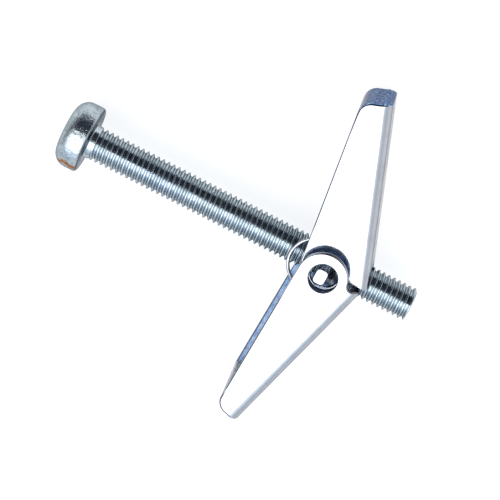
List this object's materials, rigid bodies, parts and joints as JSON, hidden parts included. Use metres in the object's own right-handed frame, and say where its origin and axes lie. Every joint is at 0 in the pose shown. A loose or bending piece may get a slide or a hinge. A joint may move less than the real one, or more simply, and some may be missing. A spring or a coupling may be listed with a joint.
{
  "type": "wall anchor",
  "caption": "Spring toggle wall anchor: pan-head machine screw with folding sheet-metal wings on a nut, opened by a torsion spring.",
  "frame": {"origin": "centre of the bearing face under the screw's head, on the screw's axis", "axes": "+X along the screw from head to tip, +Z along the wings' pivot axis, +Y towards the inner wing"},
  "size_m": [0.0538, 0.0501, 0.0138],
  "materials": {
    "zinc_screw": "bright blue-white zinc plating, rolled thread",
    "zinc_sheet": "bright blue-white zinc plating on pressed sheet",
    "zinc_nut": "bright blue-white zinc plating",
    "spring_steel": "plated spring wire"
  },
  "bodies": {
    "screw": {"machine_screw": "zinc_screw"},
    "nut": {"trunnion_nut": "zinc_nut", "torsion_spring": "spring_steel"},
    "outer_wing": {"outer_wing": "zinc_sheet"},
    "inner_wing": {"inner_wing": "zinc_sheet"}
  },
  "joints": [
    {"name": "nut_travel", "type": "slide", "parent": "screw", "child": "nut", "axis": [1, 0, 0], "range_m": [-0.012, 0.01]},
    {"name": "outer_wing_fold", "type": "hinge", "parent": "nut", "child": "outer_wing", "pos_m": [0.0372, 0, 0], "axis": [0, 0, -1], "range_deg": [0, 71], "stiffness_Nm_per_rad": 0.012, "springref_deg": -51.57, "deforming": ["torsion_spring"]},
    {"name": "inner_wing_fold", "type": "hinge", "parent": "nut", "child": "inner_wing", "pos_m": [0.0372, 0, 0], "axis": [0, 0, 1], "range_deg": [0, 67], "stiffness_Nm_per_rad": 0.012, "springref_deg": -51.57, "deforming": ["torsion_spring"]}
  ]
}
